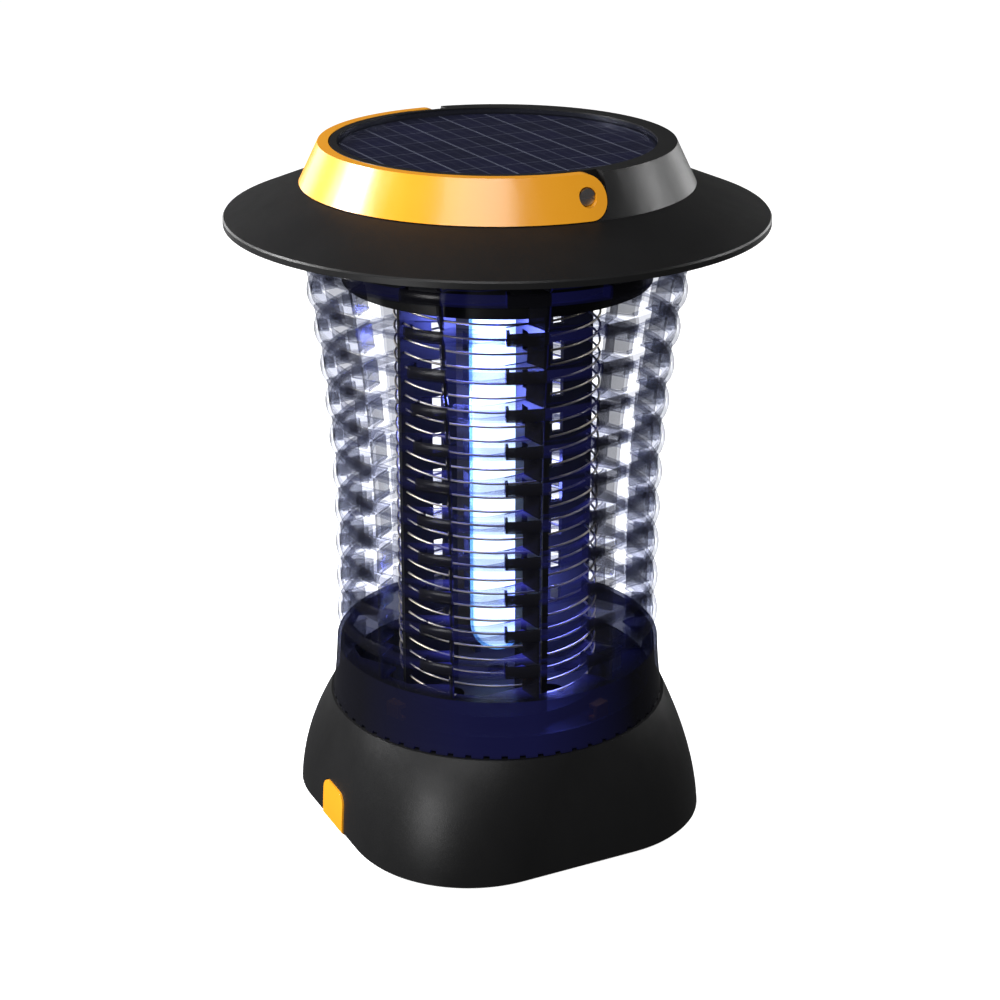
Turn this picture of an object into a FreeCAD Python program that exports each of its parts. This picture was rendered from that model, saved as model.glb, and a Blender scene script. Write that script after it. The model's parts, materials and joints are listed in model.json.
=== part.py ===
"""Solar lantern bug zapper: square-footed base, louvred guard, hat brim and folding carrying handle.

Millimetres, +Z up. The origin is the middle of the underside, on the surface that the feet stand on.
-Y is the face with the push button, and the handle lies folded over that same side.
Every piece is one closed solid (or a group of equal solids) in its own file in parts/.
"""
import FreeCAD
import Part
import math
import os

V = FreeCAD.Vector

# ---------------------------------------------------------------- driving sizes
# fits
fit_gap = 0.4            # between parts of one body that only sit next to each other
moving_gap = 0.5         # between parts of different bodies that pass each other
running_gap = 0.06       # radial, pin in a turning bore
seat_gap = 0.1           # between a part and the ledge or floor it sits on

past = 1.0               # how far a cutter reaches past what it cuts
far = 400.0              # more than the whole object

# base
foot_height = 1.2        # how far the rubber feet stand out
foot_radius = 8.0
foot_recess = 1.5
foot_chamfer = 0.5
foot_spread = 62.0       # feet stand at plus and minus this in X and Y
base_half = 93.9         # half width across the flats at the bottom
base_straight = 31.6     # half length of the straight part of a side at the bottom
base_top_radius = 86.0
base_top_straight = 0.8  # what is left of the straight part at the round top
base_height = 60.8       # shell height above the feet
base_flare = 0.2         # share of the taper that is straight, the rest grows with height squared
base_edge = 1.4          # bevel round the bottom edge
base_wall = 2.6
deck_thickness = 3.0

# bottom cover, battery and its door
cover_thickness = 2.5
boss_spread = 48.0       # screw bosses at plus and minus this in X and Y
boss_radius = 4.6
screw_radius = 1.5
screw_head_radius = 2.8
screw_head_height = 1.6
screw_length = 14.0
screw_tip_gap = 2.0      # left under a screw's tip in its hole
battery_size = (90.0, 50.0, 37.0)
battery_corner = 3.0
battery_lift = 0.65      # under the battery, above the cover
cradle_wall = 1.8
cradle_height = 22.0
door_overlap = 3.0       # how far the door reaches past the battery, each side
door_screw_offset = 5.5  # door tongue that takes the screw, past the door's long edge
terminal_size = (6.3, 0.8, 7.0)
terminal_pitch = 34.0

# control board under the deck
board_size = (84.0, 60.0)
board_thickness = 1.6
board_post_height = 4.6
board_post_radius = 3.2
board_edge = 5.0         # from a board's edge to its screw
board_screw_length = 5.0
relay_size = (18.0, 14.0, 7.5)
relay_place = (-22.0, -12.0)
choke_size = (7.5, 7.0)  # radius, height
choke_place = (18.0, -14.0)
can_size = (3.6, 7.5)    # radius, height
can_places = ((-6.0, -2.0), (3.0, -2.0))

# push button in the -Y face
button_width = 25.0
button_height = 21.8
button_corner = 6.0
button_proud = 0.8
button_skin = 3.0
button_flange = 2.0      # how far the flange behind the slot reaches past it
button_flange_thickness = 1.6
button_travel = 2.0
button_reach = 10.0      # how far the button's cutting outline reaches through the wall
button_web_inset = 0.6   # of the web between skin and flange
button_web_lap = 0.5     # how far the web reaches into the skin
stem_radius = 3.0
stem_height = 12.5       # of its axis
stem_length = 6.0
switch_size = (15.0, 12.0, 15.0)
plunger_radius = 2.2
plunger_depth = 3.0      # how far the plunger sits in the switch when it is out

# tray that catches what falls, on the base
tray_radius = 79.2
tray_floor = 1.8
tray_wall = 1.6
tray_height = 9.0
tray_hole_radius = 24.0
clip_radius = 68.0       # of the clips' middle
clip_size = (9.0, 5.0, 9.0)
clip_spread_deg = 48.0   # each side of the guard's front cell
clip_thickness = 2.0

# guard: skirt, louvre rings and struts
guard_turn_deg = 3.56    # turn of the louvre pattern about Z
guard_bottom = 62.4
skirt_top = 91.4
guard_wall = 1.8
waist_radius = 81.6      # outer radius at the waist
waist_height = 148.0
guard_top_grow = 11.4    # outer radius gained at guard_flare_height over the waist
guard_flare_height = 134.0
guard_flare_power = 2.1
guard_foot_grow = 3.5    # outer radius gained at guard_bottom over the waist
guard_foot_power = 4
ring_count = 11
ring_pitch = 18.75
first_ring_middle = 106.5
ring_height = 7.4
ring_bulge = 0.9         # how far a ring's wall swells at its middle
fin_thickness = 1.2
cells = 12               # louvre cells round a ring
fin_depth = 6.0          # of a fin along the first part of its cell
fin_tip_depth = 15.0
fin_heel = 0.33          # share of a cell where the fin starts to deepen
fin_tip = 0.86           # share of a cell where it is deepest
fin_step = 0.985         # share of a cell where it is back at the wall
fin_root = 2.8           # what a fin keeps inside the wall after its step
strut_inset = 1.5        # from a fin's tip to the strut's inner edge
strut_end_deg = 0.6      # from the cell's end to the strut's outer edge
strut_thickness = 1.8
gusset_thickness = 1.6
gusset_share = 0.6       # place of the gusset inside a ring, as a share of a cell
notch_count = 60
notch_size = (3.2, 1.4)  # along the edge, up
skirt_steps = 6          # straight stretches in the skirt's wall
collar_top = 316.0
collar_height = 4.0
collar_depth = 9.0

# killing grid
post_inner = 23.0
post_thickness = 3.2
post_bottom = 69.0
grid_radius = 50.0
wire_radius = 0.6
wire_pitch = 14.3        # of one electrode's rings, the other's lie half way between
wires_per_electrode = 15
first_wire = 77.0
post_outer = 52.5
window_size = (6.0, 10.0)
window_radius = 33.0     # of the windows' middle
grid_foot_radius = 54.0
grid_foot_thickness = 4.0
hub_radius = 22.0
hub_hole_radius = 5.5
hub_rim = 4.0
contact_depth = 1.0      # recess for the contact plate
foot_window_radius = 7.0
foot_window_count = 8

# lamp
lamp_radius = 13.8
lamp_bottom = 82.0
lamp_top = 284.0
lamp_wall = 1.2
cap_radius = 15.6
cap_height = 12.0
pin_radius = 1.2
pin_length = 6.0
pin_spread = 5.0
socket_radius = 19.0
socket_height = 20.0

# head: drum, brim, bezel
drum_radius = 75.0
drum_bottom = 280.0
drum_wall = 2.0
flange_radius = 85.0
brim_radius = 130.0
brim_edge_height = 312.6
brim_wall = 2.6
brim_lip = 3.2           # height of the edge
brim_hole_radius = 70.5
brim_edge_chamfer = 0.6
brim_lip_root = 0.8      # how much wider the lip is where it meets the underside
bezel_bottom = 326.8
bezel_top = 346.2
bezel_foot_radius = 94.0
bezel_top_radius = 84.5
bezel_wall = 2.5
panel_radius = 75.0
panel_lip = 0.5          # how far the bezel stands above the panel's cover
cover_glass = 2.4
cell_layer = 0.8
panel_board = 1.6
ledge_width = 5.0
head_screw_circle = 78.0
head_screw_count = 6
head_screw_length = 9.0
head_post_radius = 2.6

# handle
handle_rim = 5.1         # width of the handle's top face
handle_foot_width = 9.6  # width of its lower face
handle_skin = 3.0
handle_gap = 0.5         # above the brim and behind its ends
pivot_radius = 2.5
pivot_head_radius = 3.8
pivot_head_height = 2.2
pivot_boss_radius = 6.0
counterbore_depth = 3.6
pivot_slot = 1.2         # screwdriver slot in a pivot's head
pivot_slot_depth = 0.5
handle_hollow_start = 20.0  # the hollow keeps this far from the pivots, along Y
handle_hollow_half = 80.0   # and ends here along X
handle_hollow_reach = 10.0  # how far its cutter reaches inside the handle

# boards in the head
inverter_size = (74.0, 54.0)
charge_size = (60.0, 40.0)
standoff_height = 5.0
inverter_post_radius = 3.2
charge_post_radius = 2.6
pilot_depth = 6.0        # screw hole in the top of a pillar
charge_lift = 13.0       # charge board above the inverter board
core_size = (24.0, 20.0, 8.0)
winding_size = (14.0, 26.0, 6.0)
core_x = -14.0
tall_can = (4.0, 9.0)    # radius, height
tall_can_places = ((8.0, -12.0), (8.0, 0.0), (8.0, 12.0))
chip_size = (8.0, 6.0, 2.0)
chip_places = ((22.0, -8.0), (22.0, 6.0))

# ---------------------------------------------------------------- derived places
screw_clear = screw_radius + running_gap
shell_bottom = foot_height
shell_top = foot_height + base_height
deck_bottom = shell_top - deck_thickness
cell_deg = 360.0 / cells
bezel_height = bezel_top - bezel_bottom
bezel_slope = (bezel_foot_radius - bezel_top_radius) / bezel_height
handle_bottom = bezel_bottom + handle_gap
handle_lobe = (bezel_top - handle_bottom) / 2
pivot_height = bezel_top - handle_lobe
recess_top_radius = bezel_top_radius - handle_rim - moving_gap
recess_foot_radius = bezel_foot_radius - handle_foot_width - moving_gap
panel_top = bezel_top - panel_lip
ledge_height = panel_top - cover_glass - cell_layer - panel_board - 3 * seat_gap
brim_slope = (bezel_bottom - brim_edge_height) / (brim_radius - bezel_foot_radius)
brim_under = bezel_bottom - brim_wall
ring_middles = [first_ring_middle + ring_pitch * i for i in range(ring_count)]
wire_heights = [first_wire + wire_pitch * i for i in range(wires_per_electrode)]


# ---------------------------------------------------------------- shape helpers
def turn(shape, degrees):
    """Return a copy turned about Z."""
    copy = shape.copy()
    copy.rotate(V(0, 0, 0), V(0, 0, 1), degrees)
    return copy


def moved(shape, x, y, z):
    copy = shape.copy()
    copy.translate(V(x, y, z))
    return copy


def cylinder(radius, bottom, top, x=0.0, y=0.0):
    return Part.makeCylinder(radius, top - bottom, V(x, y, bottom))


def along_y(radius, start, end, height):
    """Round bar along Y at X = 0."""
    return Part.makeCylinder(radius, end - start, V(0, start, height), V(0, 1, 0))


def along_x(radius, start, end, height):
    """Round bar along X at Y = 0."""
    return Part.makeCylinder(radius, end - start, V(start, 0, height), V(1, 0, 0))


def cylinders(radius, bottom, top, places):
    return [cylinder(radius, bottom, top, x, y) for x, y in places]


def tube(inner, outer, bottom, top):
    return cylinder(outer, bottom, top).cut(cylinder(inner, bottom - past, top + past))


def box(low, high):
    size = [high[i] - low[i] for i in range(3)]
    return Part.makeBox(size[0], size[1], size[2], V(*low))


def middle_box(width, depth, bottom, top, x=0.0, y=0.0):
    return box((x - width / 2, y - depth / 2, bottom), (x + width / 2, y + depth / 2, top))


def soft_box(width, depth, bottom, top, corner, x=0.0, y=0.0):
    """A box with its four upright edges rounded."""
    block = middle_box(width, depth, bottom, top, x, y)
    upright = [e for e in block.Edges if abs(e.Vertexes[0].Z - e.Vertexes[1].Z) > (top - bottom) / 2]
    return block.makeFillet(corner, upright)


def revolved(outline, degrees=360.0):
    """Turn an outline of (radius, height) points about Z, starting at +X."""
    points = [V(r, 0, z) for r, z in outline]
    face = Part.Face(Part.makePolygon(points + [points[0]]))
    return face.revolve(V(0, 0, 0), V(0, 0, 1), degrees)


def prism(outline, bottom, top):
    """Raise a flat outline of (x, y) points from bottom to top."""
    points = [V(x, y, bottom) for x, y in outline]
    face = Part.Face(Part.makePolygon(points + [points[0]]))
    return face.extrude(V(0, 0, top - bottom))


def polar(radius, degrees):
    return radius * math.cos(math.radians(degrees)), radius * math.sin(math.radians(degrees))


def joined(shapes):
    whole = shapes[0].multiFuse(shapes[1:]) if len(shapes) > 1 else shapes[0]
    return whole.removeSplitter()


def group(shapes):
    return Part.makeCompound(shapes)


def corners(spread):
    return [(x * spread, y * spread) for x in (-1, 1) for y in (-1, 1)]


def upright_screw(x, y, head_low, length, head_up=False):
    """A round-headed screw; its head is at the bottom unless head_up."""
    head = cylinder(screw_head_radius, head_low, head_low + screw_head_height, x, y)
    start = head_low - length if head_up else head_low + screw_head_height
    shank = cylinder(screw_radius - running_gap, start, start + length, x, y)
    return joined([head, shank])


# ---------------------------------------------------------------- base
def base_outline(share, inset, height):
    """Rounded square at a share of the way up, inset by a wall, as a closed wire."""
    taper = base_flare * share + (1 - base_flare) * share ** 2
    straight = base_straight + (base_top_straight - base_straight) * taper
    half = base_half + (base_top_radius - base_half) * taper - inset
    radius = half - straight
    diagonal = straight + radius * math.sqrt(0.5)
    edges = []
    for quarter in range(4):
        a, b = V(half, -straight, height), V(half, straight, height)
        c, d = V(diagonal, diagonal, height), V(straight, half, height)
        piece = Part.Wire([Part.makeLine(a, b), Part.Arc(b, c, d).toShape()])
        piece.rotate(V(0, 0, 0), V(0, 0, 1), 90 * quarter)
        edges += piece.Edges
    return Part.Wire(Part.__sortEdges__(edges))


def base_body(inset, bottom, top):
    """The base's outer form, or its hollow when inset by the wall."""
    shares = [0.0, 0.25, 0.5, 0.75, 1.0]
    wires = []
    for share in shares:
        height = bottom + (top - bottom) * share
        wires.append(base_outline((height - shell_bottom) / base_height, inset, height))
    return Part.makeLoft(wires, True, False)


def base_form():
    """Outer form with the bevel round its bottom edge."""
    start = shell_bottom + base_edge
    share = base_edge / base_height
    foot, belt = base_outline(0.0, base_edge, shell_bottom), base_outline(share, 0.0, start)
    bevel = Part.makeLoft([foot, belt], True, True)
    return base_body(0.0, start, shell_top).fuse(bevel)


def button_prism(grow, depth_out, depth_in):
    """Upright block with the button's outline, grown all round, from outside the -Y face inwards."""
    top = shell_bottom + button_height + grow
    half = button_width / 2 + grow
    corner = button_corner + grow
    y_out, y_in = -base_half - depth_out, -base_half + depth_in
    start = V(-half, y_out, shell_bottom - 2)
    left = V(-half, y_out, top - corner)
    left_top = V(-half + corner, y_out, top)
    right_top = V(half - corner, y_out, top)
    right = V(half, y_out, top - corner)
    end = V(half, y_out, shell_bottom - 2)
    bow = corner * (1 - math.sqrt(0.5))
    edges = [
        Part.makeLine(start, left),
        Part.Arc(left, V(-half + bow, y_out, top - bow), left_top).toShape(),
        Part.makeLine(left_top, right_top),
        Part.Arc(right_top, V(half - bow, y_out, top - bow), right).toShape(),
        Part.makeLine(right, end),
        Part.makeLine(end, start),
    ]
    return Part.Face(Part.Wire(edges)).extrude(V(0, y_in - y_out, 0))


def base_shell():
    hollow = base_body(base_wall, shell_bottom, deck_bottom)
    hollow = hollow.fuse(moved(base_body(base_wall + base_edge, shell_bottom, deck_bottom), 0, 0, -base_wall))
    shell = base_form().cut(hollow)
    board_post_low = deck_bottom - board_post_height
    posts = cylinders(boss_radius, cover_top(), deck_bottom + past, corners(boss_spread))
    posts += cylinders(board_post_radius, board_post_low, deck_bottom + past, board_holes(board_size))
    shell = shell.fuse(posts)
    holes = cylinders(screw_radius, cover_top() - past, cover_top() + screw_length, corners(boss_spread))
    holes += cylinders(screw_radius, board_post_low - past, deck_bottom, board_holes(board_size))
    holes += cylinders(pin_radius + fit_gap, deck_bottom - past, shell_top + past, contact_places())
    holes += [button_prism(moving_gap, button_reach, base_half - base_top_radius + button_reach)]
    return shell.cut(group(holes))


def cover_top():
    return shell_bottom + cover_thickness


def board_holes(size):
    """Screw places of a board, at its four corners."""
    x, y = size[0] / 2 - board_edge, size[1] / 2 - board_edge
    return [(sx * x, sy * y) for sx in (-1, 1) for sy in (-1, 1)]


def door_half():
    return battery_size[0] / 2 + door_overlap, battery_size[1] / 2 + door_overlap


def door_outline(grow):
    """Battery door: a plate with a tongue on its +Y edge for the screw."""
    x, y = door_half()
    plate = soft_box(2 * (x + grow), 2 * (y + grow), shell_bottom, cover_top(), battery_corner)
    tongue = cylinder(door_screw_offset + grow, shell_bottom, cover_top(), 0, y)
    return joined([plate, tongue])


def door_screw_place():
    return 0.0, door_half()[1] + door_screw_offset / 2


def bottom_cover():
    inset = base_wall + base_edge + fit_gap
    lower, upper = base_outline(0.0, inset, shell_bottom), base_outline(0.0, inset, cover_top())
    plate = Part.makeLoft([lower, upper], True, True)
    low, high = cover_top(), cover_top() + cradle_height
    room = [battery_size[i] / 2 + fit_gap for i in range(2)]
    outer = [door_half()[i] + fit_gap + cradle_wall + seat_gap for i in range(2)]
    inner = [size - cradle_wall for size in outer]
    frame = middle_box(2 * outer[0], 2 * outer[1], low - past, high)
    under = middle_box(2 * inner[0], 2 * inner[1], low - past, high + past)
    battery_room = middle_box(2 * room[0], 2 * room[1], 0, shell_top)
    floor_low = low + seat_gap
    floor = middle_box(2 * inner[0], 2 * inner[1], floor_low, floor_low + cradle_wall).cut(battery_room)
    x, y = door_screw_place()
    lug = cylinder(boss_radius, floor_low, low + cradle_height / 2, x, y)
    lug = lug.cut(cylinder(screw_radius, 0, shell_top, x, y)).cut(under)
    cover = joined([plate, frame.cut(under), floor, lug]).cut(door_outline(fit_gap))
    cover = cover.cut(battery_room)
    cover = cover.cut(cylinder(screw_radius, 0, shell_top, x, y))
    holes = cylinders(screw_clear, 0, shell_top, corners(boss_spread))
    holes += cylinders(screw_head_radius + fit_gap, 0, shell_bottom + screw_head_height, corners(boss_spread))
    holes += cylinders(foot_radius + seat_gap, 0, shell_bottom + foot_recess, corners(foot_spread))
    notch = button_width + 2 * (button_flange + 2 * moving_gap)
    depth = button_skin + button_flange_thickness + button_travel + stem_length
    holes += [middle_box(notch, 2 * depth, 0, shell_top, 0, -base_half)]
    return cover.cut(group(holes))


def battery_door():
    x, y = door_screw_place()
    door = door_outline(0.0)
    door = door.cut(cylinder(screw_clear, 0, shell_top, x, y))
    return door.cut(cylinder(screw_head_radius + fit_gap, 0, shell_bottom + screw_head_height / 2, x, y))


def battery_door_screw():
    x, y = door_screw_place()
    return upright_screw(x, y, shell_bottom + screw_head_height / 2 - screw_head_height, screw_length / 2)


def cover_screws():
    length = screw_length - screw_tip_gap
    return group([upright_screw(x, y, shell_bottom, length) for x, y in corners(boss_spread)])


def rubber_feet():
    feet = []
    for x, y in corners(foot_spread):
        foot = cylinder(foot_radius, 0, shell_bottom + foot_recess, x, y)
        feet.append(foot.makeChamfer(foot_chamfer, [foot.Edges[2]]))
    return group(feet)


def battery_bottom():
    return cover_top() + battery_lift


def battery_pack():
    width, depth, height = battery_size
    low = battery_bottom()
    return soft_box(width, depth, low, low + height, battery_corner)


def battery_terminals():
    width, thickness, height = terminal_size
    low = battery_bottom() + battery_size[2]
    y = battery_size[1] / 2 - battery_corner - thickness
    places = (-terminal_pitch / 2, terminal_pitch / 2)
    return group([middle_box(width, thickness, low, low + height, x, y) for x in places])


def board(size, bottom):
    plate = middle_box(size[0], size[1], bottom, bottom + board_thickness)
    top = bottom + board_thickness
    return plate.cut(group(cylinders(screw_clear, bottom - past, top + past, board_holes(size))))


def control_board_bottom():
    return deck_bottom - board_post_height - board_thickness


def control_board():
    return board(board_size, control_board_bottom())


def control_board_parts():
    """Relay, coil and capacitors hanging from the board, clear of the battery's terminals."""
    top = control_board_bottom()
    relay = middle_box(relay_size[0], relay_size[1], top - relay_size[2], top, *relay_place)
    coil = cylinder(choke_size[0], top - choke_size[1], top, *choke_place)
    return group([relay, coil] + cylinders(can_size[0], top - can_size[1], top, can_places))


def control_board_screws():
    low = control_board_bottom() - screw_head_height
    return group([upright_screw(x, y, low, board_screw_length) for x, y in board_holes(board_size)])


# ---------------------------------------------------------------- push button
def power_button():
    whole = base_body(0.0, shell_bottom - past, shell_top)
    front = half_space(-far, 0)
    inner = moved(whole, 0, button_skin, 0)
    skin = moved(base_form(), 0, -button_proud, 0).cut(inner)
    skin = skin.common(button_prism(0.0, button_reach, 2 * button_reach))
    seat = base_body(base_wall + moving_gap, shell_bottom, shell_top)
    seat_inner = moved(seat, 0, button_flange_thickness, 0)
    outline = button_prism(button_flange + moving_gap, button_reach, 2 * button_reach)
    flange = seat.cut(seat_inner).common(outline).common(front)
    web = moved(whole, 0, button_skin - button_web_lap, 0).cut(seat_inner)
    web = web.common(button_prism(-button_web_inset, button_reach, 2 * button_reach)).common(front)
    stem = along_y(stem_radius, -base_half + button_skin, button_stem_end(), stem_height)
    return joined([skin, flange, web, stem])


def button_stem_end():
    return -base_half + base_wall + moving_gap + button_flange_thickness + stem_length


def switch_front():
    return button_stem_end() + button_travel + moving_gap


def switch_body():
    """Push switch behind the stem, standing on the bottom cover's inner side, with a bore for its plunger."""
    width, depth, height = switch_size
    low = cover_top() + seat_gap
    block = middle_box(width, depth, low, low + height, 0, switch_front() + depth / 2)
    bore_depth = plunger_depth + button_travel + moving_gap
    start = switch_front()
    return block.cut(along_y(plunger_radius + running_gap, start - past, start + bore_depth, stem_height))


def switch_plunger():
    """Pin between the button's stem and the inside of the switch; it travels with the button."""
    return along_y(plunger_radius, button_stem_end(), switch_front() + plunger_depth, stem_height)


# ---------------------------------------------------------------- tray and contacts
def contact_places():
    return [(-hub_radius / 2, 0.0), (hub_radius / 2, 0.0)]


def contact_pins():
    """Sprung pins that carry current from the base to the killing grid."""
    low = control_board_bottom() + board_thickness + seat_gap
    top = grid_foot_bottom() - moving_gap
    pins = []
    for x, y in contact_places():
        pin = cylinder(pin_radius, low, top - pin_radius, x, y)
        tip = Part.makeSphere(pin_radius, V(x, y, top - pin_radius))
        pins.append(joined([pin, tip]))
    return group(pins)


def grid_foot_bottom():
    return post_bottom - grid_foot_thickness


def tray_bottom():
    return shell_top + seat_gap


def insect_tray():
    low = tray_bottom()
    outline = [
        (tray_hole_radius, low),
        (tray_radius, low),
        (tray_radius, low + tray_height),
        (tray_radius - tray_wall, low + tray_height),
        (tray_radius - tray_wall, low + tray_floor),
        (tray_hole_radius + tray_wall, low + tray_floor),
        (tray_hole_radius + tray_wall, grid_foot_bottom() - moving_gap),
        (tray_hole_radius, grid_foot_bottom() - moving_gap),
    ]
    return revolved(outline)


def tray_clips():
    """Two finger clips standing on the tray's floor."""
    width, depth, height = clip_size
    low = tray_bottom() + tray_floor + seat_gap
    clips = []
    for side in (-1, 1):
        thick = clip_thickness
        foot = middle_box(depth, width, low, low + thick, clip_radius, 0)
        tab = middle_box(thick, width, low, low + height, clip_radius + (depth - thick) / 2, 0)
        lip = middle_box(depth, width, low + height - thick, low + height, clip_radius, 0)
        clips.append(turn(joined([foot, tab, lip]), guard_front_deg() + side * clip_spread_deg))
    return group(clips)


# ---------------------------------------------------------------- guard
def guard_radius(z):
    """Outer radius of the guard at a height: a waist that flares to both ends."""
    if z > waist_height:
        rise = (z - waist_height) / guard_flare_height
        return waist_radius + guard_top_grow * rise ** guard_flare_power
    fall = (waist_height - z) / (waist_height - guard_bottom)
    return waist_radius + guard_foot_grow * fall ** guard_foot_power


def fin_outline(radius, shift_deg):
    """Saw-toothed inner edge of a fin: each cell runs level, deepens to a tip and steps back."""
    tooth = ((0.0, fin_depth), (fin_heel, fin_depth), (fin_tip, fin_tip_depth), (fin_step, fin_root))
    points = []
    for cell in range(cells):
        for share, depth in tooth:
            points.append(polar(radius - depth, shift_deg + (cell + share - 0.5) * cell_deg))
    return points


def fin(radius, bottom):
    """Flat louvre fin that reaches in from the guard's wall."""
    top = bottom + fin_thickness
    disc = cylinder(radius, bottom, top)
    return disc.cut(prism(fin_outline(radius, guard_front_deg()), bottom - past, top + past))


def guard_front_deg():
    """Angle of the middle of the cell that is nearest to the corner between -Y and +X."""
    return guard_turn_deg - cell_deg


def louvre_ring(middle):
    """One louvre: a swollen wall with a fin at its top and bottom edge and gussets between them."""
    low, high = middle - ring_height / 2, middle + ring_height / 2
    radius = guard_radius(middle)
    edge = radius - ring_bulge
    bow = Part.Arc(V(edge, 0, low), V(radius, 0, middle), V(edge, 0, high)).toShape()
    inner = edge - guard_wall
    inner_bow = Part.Arc(V(inner, 0, high), V(radius - guard_wall, 0, middle), V(inner, 0, low)).toShape()
    upper = Part.makeLine(V(edge, 0, high), V(inner, 0, high))
    lower = Part.makeLine(V(inner, 0, low), V(edge, 0, low))
    ends = [upper, lower]
    section = Part.Face(Part.Wire([bow, ends[0], inner_bow, ends[1]]))
    wall = section.revolve(V(0, 0, 0), V(0, 0, 1), 360)
    fins = [fin(edge - guard_wall / 2, low), fin(edge - guard_wall / 2, high - fin_thickness)]
    gussets = []
    for cell in range(cells):
        block = middle_box(fin_depth - guard_wall / 2, gusset_thickness, low + fin_thickness / 2,
                           high - fin_thickness / 2, edge - (fin_depth + guard_wall / 2) / 2, 0)
        gussets.append(turn(block, guard_front_deg() + (cell + gusset_share - 0.5) * cell_deg))
    return joined([wall] + fins + gussets)


def strut(lower_radius, upper_radius, bottom, top, angle):
    """Slanting upright between two louvres, under the steep end of the fins."""
    radius = min(lower_radius, upper_radius) - ring_bulge
    outer = polar(radius - guard_wall / 2, angle + cell_deg / 2 - strut_end_deg)
    inner = polar(radius - fin_tip_depth + strut_inset, angle + (fin_tip - 0.5) * cell_deg)
    run = math.hypot(outer[0] - inner[0], outer[1] - inner[1])
    half = strut_thickness / 2 / run
    side = ((outer[1] - inner[1]) * half, -(outer[0] - inner[0]) * half)
    outline = [
        (outer[0] + side[0], outer[1] + side[1]),
        (inner[0] + side[0], inner[1] + side[1]),
        (inner[0] - side[0], inner[1] - side[1]),
        (outer[0] - side[0], outer[1] - side[1]),
    ]
    return prism(outline, bottom, top)


def strut_rows():
    """(bottom, top, radius below, radius above) of every open row of the guard."""
    lows = [skirt_top] + [m + ring_height / 2 for m in ring_middles]
    highs = [m - ring_height / 2 for m in ring_middles] + [collar_top - collar_height]
    return [(low, high, guard_radius(low), guard_radius(high)) for low, high in zip(lows, highs)]


def louvre_struts():
    struts = []
    for low, high, below, above in strut_rows():
        for cell in range(cells):
            struts.append(strut(below, above, low, high, guard_front_deg() + cell * cell_deg))
    return group(struts)


def guard_skirt():
    """Solid lower band of the guard, with a fin on top and small notches along its foot."""
    step = (skirt_top - guard_bottom) / skirt_steps
    heights = [guard_bottom + step * i for i in range(skirt_steps + 1)]
    outline = [(guard_radius(z), z) for z in heights]
    outline += [(guard_radius(z) - guard_wall, z) for z in reversed(heights)]
    wall = revolved(outline)
    top_fin = fin(guard_radius(skirt_top) - guard_wall / 2, skirt_top - fin_thickness)
    skirt = joined([wall, top_fin])
    width, height = notch_size
    foot_radius_out = guard_radius(guard_bottom)
    block = middle_box(3 * guard_wall, width, guard_bottom - past, guard_bottom + height, foot_radius_out, 0)
    notches = [turn(block, i * 360.0 / notch_count) for i in range(notch_count)]
    return skirt.cut(group(notches))


def guard_collar():
    outer = guard_radius(collar_top)
    collar = tube(outer - collar_depth, outer, collar_top - collar_height, collar_top)
    low = collar_top - collar_height - past
    return collar.cut(group(cylinders(screw_clear, low, collar_top + past, collar_hole_places())))


def collar_hole_places():
    radius = guard_radius(collar_top) - collar_depth / 2
    return [polar(radius, i * 360.0 / head_screw_count) for i in range(head_screw_count)]


def collar_boss_top():
    """Height at which the brim's underside cuts the outer edge of a collar boss."""
    return brim_underside(guard_radius(collar_top) - collar_depth / 2 + boss_radius)


def collar_screws():
    low = collar_top - collar_height - screw_head_height
    length = collar_boss_top() - low - screw_head_height - seat_gap
    return group([upright_screw(x, y, low, length) for x, y in collar_hole_places()])


# ---------------------------------------------------------------- killing grid
def grid_foot():
    """Round plate that closes the killing grid at its lower end."""
    low = grid_foot_bottom()
    plate = tube(hub_hole_radius, grid_foot_radius, low, post_bottom)
    step = 360.0 / foot_window_count
    places = [polar((hub_radius + grid_radius) / 2, (i + 0.5) * step) for i in range(foot_window_count)]
    plate = plate.cut(group(cylinders(foot_window_radius, low - past, post_bottom + past, places)))
    return plate.cut(tube(hub_hole_radius, hub_radius - hub_rim, low - past, low + contact_depth))


def contact_plate():
    low = grid_foot_bottom()
    outer = hub_radius - hub_rim - fit_gap
    return tube(hub_hole_radius + fit_gap, outer, low, low + contact_depth - seat_gap)


def wire_post(index):
    """Upright comb that spaces the grid wires: a slim web with windows, drilled along its outer edge."""
    low, high = post_bottom, drum_bottom
    web = box((post_inner, -post_thickness / 2, low), (post_outer, post_thickness / 2, high))
    width, height = window_size
    windows = []
    for z in ring_middles[:-2]:
        low, high = z - height / 2, z + height / 2
        windows.append(middle_box(width, 2 * post_thickness, low, high, window_radius, 0))
    for z in wire_heights:
        for level in (z, z + wire_pitch / 2):
            windows.append(wire_torus(level, wire_radius + running_gap))
    return turn(web.cut(group(windows)), 90 * index)


def wire_torus(z, radius):
    return Part.makeTorus(grid_radius, radius, V(0, 0, z))


def grid_wires_live():
    return group([wire_torus(z, wire_radius) for z in wire_heights])


def grid_wires_ground():
    return group([wire_torus(z + wire_pitch / 2, wire_radius) for z in wire_heights[:-1]])


# ---------------------------------------------------------------- lamp
def lamp_tube():
    """Glass tube with a round lower end, hung from its cap."""
    def form(radius, bottom):
        sphere = Part.makeSphere(radius, V(0, 0, bottom + radius))
        return sphere.fuse(cylinder(radius, bottom + radius, lamp_top))
    outer = form(lamp_radius, lamp_bottom)
    return joined([outer.cut(form(lamp_radius - lamp_wall, lamp_bottom + lamp_wall)),
                   cylinder(lamp_radius, lamp_top - lamp_wall, lamp_top)])


def lamp_cap():
    low = lamp_top + seat_gap
    return cylinder(cap_radius, low, low + cap_height)


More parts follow.
